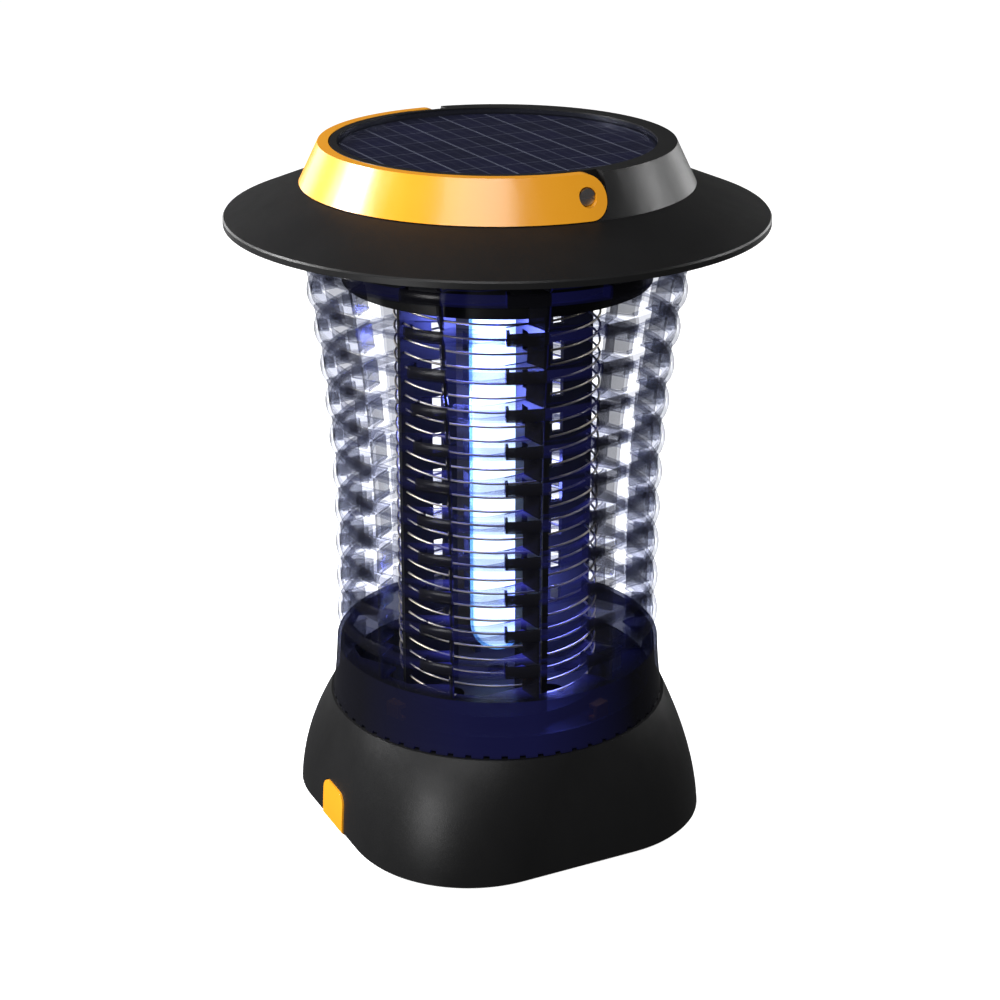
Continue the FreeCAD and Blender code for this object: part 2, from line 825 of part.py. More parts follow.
def lamp_pins():
    low = lamp_top + seat_gap + cap_height
    return group(cylinders(pin_radius, low, low + pin_length, corners(pin_spread)))


def lamp_socket():
    """Cup that takes the lamp's cap, standing on the drum's floor."""
    low = drum_bottom + drum_wall + seat_gap
    cup = cylinder(socket_radius, low, low + socket_height)
    cup = cup.cut(cylinder(cap_radius + fit_gap, low - past, lamp_top + cap_height + 2 * seat_gap))
    pin_holes = cylinders(pin_radius + running_gap, low, low + socket_height + past, corners(pin_spread))
    return cup.cut(group(pin_holes))


# ---------------------------------------------------------------- head
def head_drum():
    """Cup under the brim that hides the electronics; its floor carries the lamp and the wire posts."""
    top = brim_under - seat_gap
    outline = [
        (lamp_radius + fit_gap, drum_bottom),
        (drum_radius, drum_bottom),
        (drum_radius, top - drum_wall),
        (flange_radius, top - drum_wall),
        (flange_radius, top),
        (drum_radius - drum_wall, top),
        (drum_radius - drum_wall, drum_bottom + drum_wall),
        (lamp_radius + fit_gap, drum_bottom + drum_wall),
    ]
    drum = revolved(outline)
    return drum.cut(group(cylinders(screw_clear, drum_bottom, top + past, head_screw_places())))


def head_screw_places():
    step = 360.0 / head_screw_count
    return [polar(head_screw_circle, (i + 0.5) * step) for i in range(head_screw_count)]


def head_screws():
    low = brim_under - seat_gap - drum_wall - screw_head_height
    return group([upright_screw(x, y, low, head_screw_length) for x, y in head_screw_places()])


def brim_underside(radius):
    return bezel_bottom - brim_wall - (radius - bezel_foot_radius) * brim_slope


def brim():
    """Hat brim: a level seat under the bezel, then a shallow cone out to a thin upright edge."""
    lip_inner = brim_radius - brim_wall
    edge_low = brim_edge_height - brim_lip
    outline = [
        (brim_hole_radius, bezel_bottom),
        (bezel_foot_radius, bezel_bottom),
        (brim_radius - brim_edge_chamfer, brim_edge_height + brim_edge_chamfer * brim_slope),
        (brim_radius, brim_edge_height - brim_edge_chamfer),
        (brim_radius, edge_low),
        (lip_inner + brim_lip_root, edge_low),
        (lip_inner, brim_underside(lip_inner)),
        (bezel_foot_radius, brim_under),
        (brim_hole_radius, brim_under),
    ]
    plate = revolved(outline)
    boss_top = collar_boss_top()
    bosses = cylinders(boss_radius, collar_top + seat_gap, boss_top + brim_wall / 2, collar_hole_places())
    whole = plate.fuse(bosses)
    holes = cylinders(screw_radius, collar_top, boss_top, collar_hole_places())
    holes += cylinders(screw_clear, brim_under - past, bezel_bottom + past, head_screw_places())
    return whole.cut(group(holes))


def pivot_room(grow, x_low):
    """Space along X of a handle end that swings from folded to upright, grown all round."""
    radius = handle_lobe + grow
    round_end = along_x(radius, x_low, brim_radius, pivot_height)
    up = box((x_low, -radius, pivot_height), (brim_radius, radius, bezel_top + past))
    return round_end.fuse(up)


def cone_solid(foot, top):
    """Full cone frustum from the bezel's underside to its top."""
    low = bezel_bottom + seat_gap
    return revolved([(0, low), (foot, low), (top, bezel_top), (0, bezel_top)])


def half_space(low_y, high_y):
    return box((-far, low_y, 0), (far, high_y, far))


def pocket_face():
    """X of the flat behind a handle end, clear of the end's inner side as it swings."""
    return math.sqrt(recess_top_radius ** 2 - handle_lobe ** 2) - moving_gap


def pivot_rooms(grow, face):
    room = pivot_room(grow, face)
    return [room, turn(room, 180)]


def bezel_ledge():
    """Inner shelf that carries the solar panel, tied to the outer wall all round."""
    inner = panel_radius - ledge_width
    low = ledge_height - bezel_wall
    half = bezel_wall / 2
    front = tube(inner, recess_top_radius - half, low, ledge_height)
    back = tube(inner, bezel_top_radius, low, ledge_height).common(half_space(half, far))
    return [front, back.cut(group(pivot_rooms(moving_gap + half, pocket_face() - half)))]


def pivot_start():
    """X of a pivot's inner end."""
    return panel_radius - ledge_width + bezel_wall


def top_bezel():
    """Conical frame of the solar panel; its front half steps back to take the folded handle."""
    wall = bezel_wall
    outer = cone_solid(bezel_foot_radius, bezel_top_radius).common(half_space(0, far))
    outer = outer.fuse(cone_solid(recess_foot_radius, recess_top_radius))
    outer = outer.cut(group(pivot_rooms(moving_gap, pocket_face())))
    inner = cone_solid(bezel_foot_radius - wall, bezel_top_radius - wall).common(half_space(wall, far))
    inner = inner.fuse(cone_solid(recess_foot_radius - wall, recess_top_radius - wall))
    inner = inner.cut(group(pivot_rooms(moving_gap + wall, pocket_face() - wall)))
    inner = inner.common(cylinder(far, bezel_bottom, bezel_top - wall))
    bezel = outer.cut(inner).cut(cylinder(panel_radius + fit_gap, bezel_bottom, bezel_top + past))
    low = bezel_bottom + seat_gap
    posts = cylinders(head_post_radius, low, ledge_height - wall / 2, head_screw_places())
    boss = along_x(pivot_boss_radius, pivot_start(), pocket_face() - wall / 2, pivot_height)
    bezel = joined([bezel] + bezel_ledge() + posts + [boss, turn(boss, 180)])
    bezel = bezel.cut(cylinder(panel_radius + fit_gap, ledge_height, bezel_top + past))
    holes = cylinders(screw_radius, bezel_bottom, bezel_bottom + head_screw_length, head_screw_places())
    bore = along_x(pivot_radius, pivot_start() - past, brim_radius, pivot_height)
    return bezel.cut(group(holes + [bore, turn(bore, 180)]))


def handle_form():
    """Full ring with the handle's section, flush with the bezel's cone."""
    foot = bezel_foot_radius - bezel_slope * handle_gap
    return revolved([(foot, handle_bottom), (bezel_top_radius, bezel_top),
                     (bezel_top_radius - handle_rim, bezel_top), (foot - handle_foot_width, handle_bottom)])


def handle():
    """Half ring that lies flush on the bezel, hollowed from inside, with round ends on the pivots."""
    ring = handle_form()
    front = ring.common(half_space(-far, 0))
    ends = []
    for side in (0, 180):
        lobe = along_x(handle_lobe, panel_radius / 2, brim_radius, pivot_height)
        ends.append(ring.common(turn(lobe, side)))
    bow = joined([front] + ends)
    foot = bezel_foot_radius - bezel_slope * handle_gap - handle_skin
    top = bezel_top - handle_skin
    low = handle_bottom + handle_skin
    inside = bezel_top_radius - handle_rim - handle_hollow_reach
    slant = bezel_slope * handle_skin
    high_out = bezel_top_radius - handle_skin + slant
    hollow = revolved([(foot - slant, low), (high_out, top), (inside, top), (inside, low)])
    hollow = hollow.common(half_space(-far, -handle_hollow_start))
    hollow = hollow.common(middle_box(2 * handle_hollow_half, 2 * far, 0, far))
    bow = bow.cut(hollow)
    holes = []
    for side in (0, 180):
        bore = along_x(pivot_radius + running_gap, panel_radius / 2, brim_radius, pivot_height)
        sink = along_x(pivot_head_radius + moving_gap, pivot_seat(), brim_radius, pivot_height)
        holes += [turn(bore, side), turn(sink, side)]
    return bow.cut(group(holes))


def pivot_seat():
    """X of the counterbore's floor in a handle end."""
    return bezel_foot_radius - bezel_slope * (pivot_height - bezel_bottom) - counterbore_depth


def handle_pivots():
    pins = []
    seat = pivot_seat() + moving_gap
    end = seat + pivot_head_height
    for side in (0, 180):
        shank = along_x(pivot_radius, pivot_start(), seat, pivot_height)
        head = along_x(pivot_head_radius, seat, end, pivot_height)
        low, high = pivot_height - pivot_slot / 2, pivot_height + pivot_slot / 2
        slot = box((end - pivot_slot_depth, -far, low), (end + past, far, high))
        pins.append(turn(joined([shank, head]).cut(slot), side))
    return group(pins)


# ---------------------------------------------------------------- solar panel and head electronics
def solar_board():
    low = ledge_height + seat_gap
    return cylinder(panel_radius, low, low + panel_board)


def solar_cells():
    low = ledge_height + 2 * seat_gap + panel_board
    return cylinder(panel_radius - fit_gap, low, low + cell_layer)


def solar_cover():
    return cylinder(panel_radius, panel_top - cover_glass, panel_top)


def inverter_bottom():
    return drum_bottom + drum_wall + socket_height + standoff_height


def inverter_board():
    return board(inverter_size, inverter_bottom())


def pillars(radius, bottom, board_bottom, size):
    """Pillars under a board's corners, each with a screw hole in its top."""
    top = board_bottom - seat_gap
    holes = group(cylinders(screw_radius, top - pilot_depth, top + past, board_holes(size)))
    return group([post.cut(holes) for post in cylinders(radius, bottom, top, board_holes(size))])


def inverter_posts():
    """Pillars between the drum's floor and the inverter board."""
    low = drum_bottom + drum_wall + seat_gap
    return pillars(inverter_post_radius, low, inverter_bottom(), inverter_size)


def inverter_screws():
    low = inverter_bottom() + board_thickness
    return group([upright_screw(x, y, low, board_screw_length, True) for x, y in board_holes(inverter_size)])


def inverter_parts():
    """Transformer, capacitors and chips standing on the inverter board."""
    low = inverter_bottom() + board_thickness
    core = middle_box(core_size[0], core_size[1], low, low + core_size[2], core_x, 0)
    winding = middle_box(winding_size[0], winding_size[1], low, low + winding_size[2], core_x, 0)
    cans = cylinders(tall_can[0], low, low + tall_can[1], tall_can_places)
    chips = [middle_box(chip_size[0], chip_size[1], low, low + chip_size[2], x, y) for x, y in chip_places]
    return group([joined([core, winding])] + cans + chips)


def charge_bottom():
    return inverter_bottom() + board_thickness + charge_lift


def charge_board():
    return board(charge_size, charge_bottom())


def charge_board_posts():
    """Pillars on the inverter board that carry the charge board above it."""
    low = inverter_bottom() + board_thickness + seat_gap
    return pillars(charge_post_radius, low, charge_bottom(), charge_size)


# ---------------------------------------------------------------- output
def parts():
    made = {
        "base_shell": base_shell(),
        "bottom_cover": bottom_cover(),
        "battery_door": battery_door(),
        "battery_door_screw": battery_door_screw(),
        "cover_screws": cover_screws(),
        "rubber_feet": rubber_feet(),
        "battery_pack": battery_pack(),
        "battery_terminals": battery_terminals(),
        "control_board": control_board(),
        "control_board_parts": control_board_parts(),
        "control_board_screws": control_board_screws(),
        "switch_body": switch_body(),
        "contact_pins": contact_pins(),
        "insect_tray": insect_tray(),
        "tray_clips": tray_clips(),
        "power_button": power_button(),
        "switch_plunger": switch_plunger(),
        "guard_skirt": guard_skirt(),
        "louvre_struts": louvre_struts(),
        "guard_collar": guard_collar(),
        "collar_screws": collar_screws(),
        "grid_foot": grid_foot(),
        "contact_plate": contact_plate(),
        "grid_wires_live": grid_wires_live(),
        "grid_wires_ground": grid_wires_ground(),
        "lamp_tube": lamp_tube(),
        "lamp_cap": lamp_cap(),
        "lamp_pins": lamp_pins(),
        "lamp_socket": lamp_socket(),
        "head_drum": head_drum(),
        "head_screws": head_screws(),
        "brim": brim(),
        "top_bezel": top_bezel(),
        "handle": handle(),
        "handle_pivots": handle_pivots(),
        "solar_board": solar_board(),
        "solar_cells": solar_cells(),
        "solar_cover": solar_cover(),
        "inverter_board": inverter_board(),
        "inverter_posts": inverter_posts(),
        "inverter_screws": inverter_screws(),
        "inverter_parts": inverter_parts(),
        "charge_board": charge_board(),
        "charge_board_posts": charge_board_posts(),
    }
    for number, middle in enumerate(ring_middles, start=1):
        made["louvre_ring_%02d" % number] = louvre_ring(middle)
    for index in range(4):
        made["wire_post_%d" % (index + 1)] = wire_post(index)
    return made


os.makedirs("parts", exist_ok=True)
for name, shape in parts().items():
    solids = len(shape.Solids)
    print("%-22s solids %3d  valid %s  volume %.0f" % (name, solids, shape.isValid(), shape.Volume))
    shape.exportStep("parts/%s.step" % name)
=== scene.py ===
"""Looks of the solar lantern bug zapper: meshes, finishes, studio and camera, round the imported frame.

Metres, +Z up. The -Y face has the push button. Bodies: base, button, guard and handle.
"""
import json
import math

import bmesh
import bpy
from mathutils import Matrix, Vector


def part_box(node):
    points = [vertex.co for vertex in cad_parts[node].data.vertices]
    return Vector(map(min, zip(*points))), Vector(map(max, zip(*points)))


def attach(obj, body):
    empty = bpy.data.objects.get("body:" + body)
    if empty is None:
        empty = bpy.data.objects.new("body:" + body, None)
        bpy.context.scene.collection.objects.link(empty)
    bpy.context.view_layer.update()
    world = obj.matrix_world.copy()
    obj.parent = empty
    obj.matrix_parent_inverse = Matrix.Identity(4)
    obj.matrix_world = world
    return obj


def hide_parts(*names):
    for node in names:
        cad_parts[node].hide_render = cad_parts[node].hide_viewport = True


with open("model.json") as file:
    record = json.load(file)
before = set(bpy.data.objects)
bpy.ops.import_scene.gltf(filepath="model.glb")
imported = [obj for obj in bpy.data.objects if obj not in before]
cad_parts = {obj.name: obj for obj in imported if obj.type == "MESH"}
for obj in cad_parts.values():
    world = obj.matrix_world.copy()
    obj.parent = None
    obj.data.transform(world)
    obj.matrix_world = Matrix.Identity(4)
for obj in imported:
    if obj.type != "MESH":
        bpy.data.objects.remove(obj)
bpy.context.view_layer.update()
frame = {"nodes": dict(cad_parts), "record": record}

MM = 0.001
scene = bpy.context.scene


# ---------------------------------------------------------------- node trees
class Value:
    """One output of a node, with arithmetic that adds Math nodes."""

    def __init__(self, tree, socket):
        self.tree = tree
        self.socket = socket

    def maths(self, operation, *others):
        made = self.tree.add("ShaderNodeMath", {"operation": operation}, dict(enumerate((self,) + others)))
        return made[0]

    def __add__(self, other):
        return self.maths("ADD", other)

    def __sub__(self, other):
        return self.maths("SUBTRACT", other)

    def __mul__(self, other):
        return self.maths("MULTIPLY", other)

    def __truediv__(self, other):
        return self.maths("DIVIDE", other)

    def __pow__(self, other):
        return self.maths("POWER", other)

    def __mod__(self, other):
        return self.maths("FLOORED_MODULO", other)

    def __gt__(self, other):
        return self.maths("GREATER_THAN", other)

    def __lt__(self, other):
        return self.maths("LESS_THAN", other)

    def __radd__(self, other):
        return self + other

    def __rmul__(self, other):
        return self * other

    def __rsub__(self, other):
        return self * -1.0 + other

    def clamped(self):
        return self.maths("MAXIMUM", 0.0).maths("MINIMUM", 1.0)


class Made:
    """A node whose outputs are read by name or number."""

    def __init__(self, tree, node):
        self.tree = tree
        self.node = node

    def __getitem__(self, key):
        return Value(self.tree, self.node.outputs[key])


class Tree:
    """Adds nodes to a shader or geometry tree."""

    def __init__(self, tree):
        self.tree = tree

    def add(self, kind, settings=None, sockets=None):
        """One node: its settings first, then its sockets' values or links."""
        node = self.tree.nodes.new(kind)
        for name, value in (settings or {}).items():
            if name == "stops":
                self.set_stops(node.color_ramp, value)
            else:
                setattr(node, name, value)
        for name, value in (sockets or {}).items():
            if isinstance(value, Value):
                self.tree.links.new(value.socket, node.inputs[name])
            else:
                node.inputs[name].default_value = value
        return Made(self, node)

    def set_stops(self, ramp, stops):
        for number, (place, colour) in enumerate(stops):
            stop = ramp.elements[number] if number < 2 else ramp.elements.new(place)
            stop.position = place
            stop.color = (*colour, 1.0)

    def vector(self, operation, *operands):
        return self.add("ShaderNodeVectorMath", {"operation": operation}, dict(enumerate(operands)))

    def mix(self, factor, first, second):
        """Mix of two colours."""
        sockets = {0: factor, 6: first, 7: second}
        return self.add("ShaderNodeMix", {"data_type": "RGBA"}, sockets)[2]


# ---------------------------------------------------------------- finishes
class Finish(Tree):
    """A material on Object coordinates, built round one Principled shader."""

    def __init__(self, name):
        self.material = bpy.data.materials.new(name)
        self.material.use_nodes = True
        super().__init__(self.material.node_tree)
        self.tree.nodes.clear()
        self.place = self.add("ShaderNodeTexCoord")["Object"]
        parts = self.add("ShaderNodeSeparateXYZ", sockets={0: self.place})
        self.x, self.y, self.z = parts[0], parts[1], parts[2]

    def noise(self, scale, detail=3.0, roughness=0.5, stretch=None):
        place = self.place
        if stretch:
            place = self.vector("MULTIPLY", place, stretch)[0]
        sockets = {"Vector": place, "Scale": scale, "Detail": detail, "Roughness": roughness}
        return self.add("ShaderNodeTexNoise", {"noise_dimensions": "3D"}, sockets)["Fac"]

    def bump(self, height, distance, strength=1.0):
        sockets = {"Height": height, "Distance": distance, "Strength": strength}
        return self.add("ShaderNodeBump", sockets=sockets)["Normal"]

    def radius(self):
        return (self.x * self.x + self.y * self.y) ** 0.5

    def angle(self):
        """Degrees about Z, from 0 to 360."""
        return self.y.maths("ARCTAN2", self.x) * (180.0 / math.pi) % 360.0

    def facing(self, blend):
        return self.add("ShaderNodeLayerWeight", sockets={"Blend": blend})["Facing"]

    def principled(self, **sockets):
        named = {name.replace("_", " "): value for name, value in sockets.items()}
        return self.add("ShaderNodeBsdfPrincipled", sockets=named)[0]

    def finish(self, shader):
        self.add("ShaderNodeOutputMaterial", sockets={"Surface": shader})
        return self.material


def moulded(name, colour, roughness, grain=0.00006, mottle=0.25, coat=0.0, specular=0.5):
    """Satin or gloss moulded plastic: fine texture, faint flow marks, and finger-worn patches."""
    f = Finish(name)
    flow = f.noise(38.0, 4.0, 0.55, (1.0, 1.0, 0.45))
    fine = f.noise(2600.0, 2.0)
    worn = f.noise(90.0, 5.0, 0.6)
    dark = [c * (1 - mottle) for c in colour]
    light = [c * (1 + mottle) for c in colour]
    base = f.mix(flow, (*dark, 1.0), (*light, 1.0))
    rough = roughness + (worn - 0.5) * 0.12
    shader = f.principled(Base_Color=base, Roughness=rough, Normal=f.bump(fine, grain),
                          Coat_Weight=coat, Coat_Roughness=0.08, Specular_IOR_Level=specular)
    return f.finish(shader)


def amber_plastic():
    """Gloss amber moulding with a warm depth and faint orange-peel."""
    f = Finish("amber_plastic")
    flow = f.noise(30.0, 3.0, 0.5)
    peel = f.noise(260.0, 2.0)
    base = f.mix(flow, (0.90, 0.35, 0.012, 1.0), (0.94, 0.41, 0.02, 1.0))
    shader = f.principled(Base_Color=base, Roughness=0.26 + flow * 0.06, Normal=f.bump(peel, 0.00003),
                          Coat_Weight=0.08, Coat_Roughness=0.12)
    return f.finish(shader)


def smoke_plastic(name, clear, tint, wall, glow, lamp_side, bar=False):
    """Smoke-clear moulding: dark gloss over a see-through tint, with blue lamp light painted on as emission,
    strongest on the front cells near the lamp.

    clear is the share of gloss that every face has, and wall is what upright walls add. glow is how bright
    the painted blue light is, and lamp_side is how much of it upright walls catch. bar darkens a stretch of
    every cell: a little all round, which stands for a thicker wall, and most on the front cells, which is
    painted shade.
    """
    f = Finish(name)
    edge = f.facing(0.3)
    ripple = f.noise(120.0, 2.0)
    normal = f.add("ShaderNodeNewGeometry")["Normal"]
    level = f.add("ShaderNodeSeparateXYZ", sockets={0: normal})[2].maths("ABSOLUTE")
    upright = level < UPRIGHT_BELOW
    turn = ((f.angle() - GUARD_FRONT_DEG + 180.0) % 360.0 - 180.0).maths("ABSOLUTE")
    # painted light and shade: this mask peaks on the front cells and fades round the sides, so the guard is
    # lit and darkened on one side only
    front = (FRONT_LIT - turn / FRONT_FADE_DEG).clamped()
    # painted lamp light: fin faces nearer the axis, and so nearer the lamp, take more of the painted glow
    painted_near_lamp = (1.0 - (f.radius() - FIN_GLOW_IN) / (FIN_GLOW_OUT - FIN_GLOW_IN)).clamped()
    # painted lamp light: flat fin faces near the lamp and upright walls on the front cells get the blue
    # emission, though no lamp lights them
    light = (level * painted_near_lamp * (front * 0.8 + 0.2) + upright * front * lamp_side).clamped()
    # gloss share: grazing edges and upright walls, plus fin faces near the lamp on the front cells; that last
    # part is painted shade, and it also lets more painted glow show
    depth = clear + edge ** 3 * 0.55 + upright * wall + level * painted_near_lamp * (front * 0.55 + 0.04)
    # partly painted shade: a stretch of every cell is darkened a little all round, for a thicker wall, and
    # most on the front cells as painted shade; the painted glow is taken out there
    if bar:
        share = ((f.angle() - GUARD_FRONT_DEG) / CELL_DEG + 0.5) % 1.0
        inside = (share > BAR_START) * (share < BAR_END)
        depth = depth + inside * upright * (front * 0.55 + 0.15)
        light = light * (1.0 - inside * upright)
    # painted lamp glow colour: black where the painted light mask is off, deep blue where it is on
    painted_lamp_glow = f.mix(light, (0.0, 0.0, 0.0, 1.0), (0.055, 0.060, 0.55, 1.0))
    gloss = f.principled(Base_Color=(0.010, 0.010, 0.014, 1.0), Roughness=0.14 + ripple * 0.08,
                         Normal=f.bump(ripple, 0.0001), Specular_IOR_Level=0.10,
                         Emission_Color=painted_lamp_glow, Emission_Strength=glow)
    through = f.add("ShaderNodeBsdfTransparent", sockets={0: (*tint, 1.0)})[0]
    both = f.add("ShaderNodeMixShader", sockets={0: depth.clamped(), 1: through, 2: gloss})[0]
    return f.finish(both)


def drawn_wire():
    """Plated steel wire with fine drawing marks."""
    f = Finish("drawn_wire")
    marks = f.noise(900.0, 3.0, 0.6, (0.4, 0.4, 3.0))
    base = f.mix(marks, (0.30, 0.27, 0.22, 1.0), (0.46, 0.42, 0.36, 1.0))
    shader = f.principled(Base_Color=base, Metallic=1.0, Roughness=0.30 + marks * 0.2,
                          Normal=f.bump(marks, 0.00003))
    return f.finish(shader)


def metal(name, colour, roughness):
    """Plated or turned metal with fine scratches."""
    f = Finish(name)
    scratch = f.noise(700.0, 4.0, 0.65, (1.0, 4.0, 1.0))
    light = [min(1.0, c * 1.15) for c in colour]
    dark = [c * 0.85 for c in colour]
    base = f.mix(scratch, (*dark, 1.0), (*light, 1.0))
    shader = f.principled(Base_Color=base, Metallic=1.0, Roughness=roughness + scratch * 0.15,
                          Normal=f.bump(scratch, 0.00002))
    return f.finish(shader)


def circuit_board():
    """Green solder mask over a grid of copper tracks."""
    f = Finish("circuit_board")
    along = ((f.x / TRACK_PITCH) % 1.0) < 0.22
    across = ((f.y / TRACK_PITCH) % 1.0) < 0.22
    patch = f.noise(160.0, 2.0) > 0.5
    track = along * patch + across * (1.0 - patch)
    base = f.mix(track, (0.010, 0.085, 0.030, 1.0), (0.030, 0.20, 0.070, 1.0))
    shader = f.principled(Base_Color=base, Roughness=0.35, Normal=f.bump(track, 0.00004))
    return f.finish(shader)


def lamp_glass():
    """Clear glass of the lamp, faintly blue where it is seen edge on."""
    f = Finish("lamp_glass")
    edge = f.facing(0.5)
    streak = f.noise(60.0, 2.0, 0.5, (1.0, 1.0, 0.2))
    gloss = f.principled(Base_Color=(0.25, 0.55, 0.95, 1.0), Roughness=0.08,
                         Emission_Color=f.mix(streak, (0.10, 0.32, 0.85, 1.0), (0.14, 0.42, 1.0, 1.0)),
                         Emission_Strength=0.8)
    through = f.add("ShaderNodeBsdfTransparent", sockets={0: (0.96, 0.98, 1.0, 1.0)})[0]
    share = (edge * edge * 0.7 + 0.03).clamped()
    return f.finish(f.add("ShaderNodeMixShader", sockets={0: share, 1: through, 2: gloss})[0])


def lamp_glow():
    """Phosphor inside the lamp: white, cooler towards both ends, with a faint powdery unevenness."""
    f = Finish("lamp_glow")
    low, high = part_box("lamp_tube")
    along = (f.z - low.z) / (high.z - low.z)
    middle = 1.0 - ((along - 0.5).maths("ABSOLUTE") * 2.0) ** 4
    powder = f.noise(240.0, 3.0)
    colour = f.mix(middle * 0.6 + powder * 0.3, (0.62, 0.84, 1.0, 1.0), (0.97, 1.0, 0.96, 1.0))
    shader = f.principled(Base_Color=(0.8, 0.85, 0.9, 1.0), Roughness=0.6, Emission_Color=colour,
                          Emission_Strength=1.25)
    return f.finish(shader)


def solar_cells():
    """Dark blue cells with silver busbars along X, fingers half way, and the joints between cells."""
    f = Finish("solar_cells")
    bars = line(f.y, BUSBAR_PITCH, BUSBAR_WIDTH, BUSBAR_START)
    halfway = line(f.y, BUSBAR_PITCH, FINGER_WIDTH, BUSBAR_START + BUSBAR_PITCH / 2)
    quarters = line(f.y, BUSBAR_PITCH / 2, HAIR_WIDTH, BUSBAR_START + BUSBAR_PITCH / 4)
    joints = line(f.x, CELL_PITCH, FINGER_WIDTH, CELL_START)
    hairs = line(f.x, CELL_PITCH / 2, HAIR_WIDTH, CELL_START + CELL_PITCH / 4)
    inside = f.radius() < CELL_FIELD
    cell_x = ((f.x - CELL_START) / CELL_PITCH).maths("FLOOR")
    cell_y = ((f.y - BUSBAR_START) / (BUSBAR_PITCH / 2)).maths("FLOOR")
    number = f.add("ShaderNodeCombineXYZ", sockets={0: cell_x, 1: cell_y})[0]
    shade = f.add("ShaderNodeTexWhiteNoise", {"noise_dimensions": "3D"}, {"Vector": number})["Value"]
    crystal = f.add("ShaderNodeTexVoronoi", sockets={"Vector": f.place, "Scale": 160.0})["Distance"]
    blue = f.mix(shade * 0.7 + crystal * 0.3, (0.0035, 0.0045, 0.022, 1.0), (0.010, 0.009, 0.050, 1.0))
    silver = (bars * 0.85 + halfway * 0.60 + joints * 0.70 + quarters * 0.20 + hairs * 0.22).clamped()
    lined = f.mix(silver, blue, (0.36, 0.37, 0.40, 1.0))
    base = f.mix(inside, (0.004, 0.004, 0.005, 1.0), lined)
    shader = f.principled(Base_Color=base, Roughness=0.34 - silver * 0.1,
                          Normal=f.bump(silver * inside, 0.00008))
    return f.finish(shader)


def line(along, pitch, width, start):
    """1 on lines across an axis, every pitch from start."""
    near = ((along - (start - pitch / 2)) % pitch - pitch / 2).maths("ABSOLUTE")
    return near < width / 2


def cover_glass():
    """Clear resin over the cells: almost all see-through, with a polished face."""
    f = Finish("cover_glass")
    edge = f.facing(0.25)
    wave = f.noise(14.0, 2.0)
    gloss = f.principled(Base_Color=(0.01, 0.012, 0.03, 1.0), Roughness=0.06, Normal=f.bump(wave, 0.0004))
    through = f.add("ShaderNodeBsdfTransparent", sockets={0: (0.93, 0.94, 1.0, 1.0)})[0]
    share = (edge * 0.35 + 0.05).clamped()
    return f.finish(f.add("ShaderNodeMixShader", sockets={0: share, 1: through, 2: gloss})[0])


# ---------------------------------------------------------------- sizes that the finishes and pieces share
CELLS = 12
CELL_DEG = 360.0 / CELLS
GUARD_FRONT_DEG = 3.56 - CELL_DEG
# where the bar's darkening starts and ends in each cell; the darkening is partly painted shade
BAR_START, BAR_END = 0.59, 0.985
# radii where the painted lamp glow on the fins starts and ends
FIN_GLOW_IN, FIN_GLOW_OUT = 0.064, 0.079
UPRIGHT_BELOW = 0.5
# peak and fade of the painted front-side light and shade on the guard
FRONT_LIT, FRONT_FADE_DEG = 1.3, 42.0
TRACK_PITCH = 0.0024
BUSBAR_PITCH, BUSBAR_START, BUSBAR_WIDTH = 0.023, 0.004, 0.0011
CELL_PITCH, CELL_START = 0.0205, 0.0
FINGER_WIDTH, HAIR_WIDTH = 0.0006, 0.00035
CELL_FIELD = 0.0738

WALL = 1.8 * MM
BULGE = 0.9 * MM
FIN_THICKNESS = 1.2 * MM
FIN_DEPTH, FIN_TIP_DEPTH = 6.0 * MM, 15.0 * MM
FIN_HEEL, FIN_TIP, FIN_STEP = 0.33, 0.86, 0.985
EDGE_ROUND = 0.3 * MM
WAIST_RADIUS = 81.6 * MM
STEPS_PER_CELL = 28
STRUT_INSET, STRUT_END_DEG = 1.5 * MM, 0.6
RIB_THICKNESS, RIB_SHARE = 1.6 * MM, 0.1
WAIST_HEIGHT = 148.0 * MM
TOP_GROW, FLARE_HEIGHT, FLARE_POWER = 11.4 * MM, 134.0 * MM, 2.1
FOOT_GROW, FOOT_POWER = 3.5 * MM, 4
GUARD_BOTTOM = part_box("guard_skirt")[0].z
WIRE_RADIUS = 0.6 * MM
WIRE_PITCH = 14.3 * MM
LAMP_WALL = 1.6 * MM
LAMP_END_GAP = 2.0 * MM
LAMP_ARC_STEPS = 8
LAMP_SIDES = 64
LAMP_LIGHTS, LAMP_LIGHT_OUT, LAMP_LIGHT_POWER = 4, 0.030, 0.35

rings = sorted(name for name in frame["nodes"] if name.startswith("louvre_ring_"))
ring_low, ring_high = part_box(rings[0])
RING_HEIGHT = ring_high.z - ring_low.z
FIRST_MIDDLE = (ring_high.z + ring_low.z) / 2
RING_PITCH = (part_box(rings[-1])[0].z - ring_low.z) / (len(rings) - 1)


# ---------------------------------------------------------------- mesh helpers
def new_piece(name, mesh, material, body, nodes):
    """Link a mesh as a piece that rides on a body and stands for CAD nodes."""
    mesh.materials.clear()
    mesh.materials.append(material)
    piece = bpy.data.objects.new(name, mesh)
    scene.collection.objects.link(piece)
    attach(piece, body)
    if nodes:
        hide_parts(*nodes)
    return piece


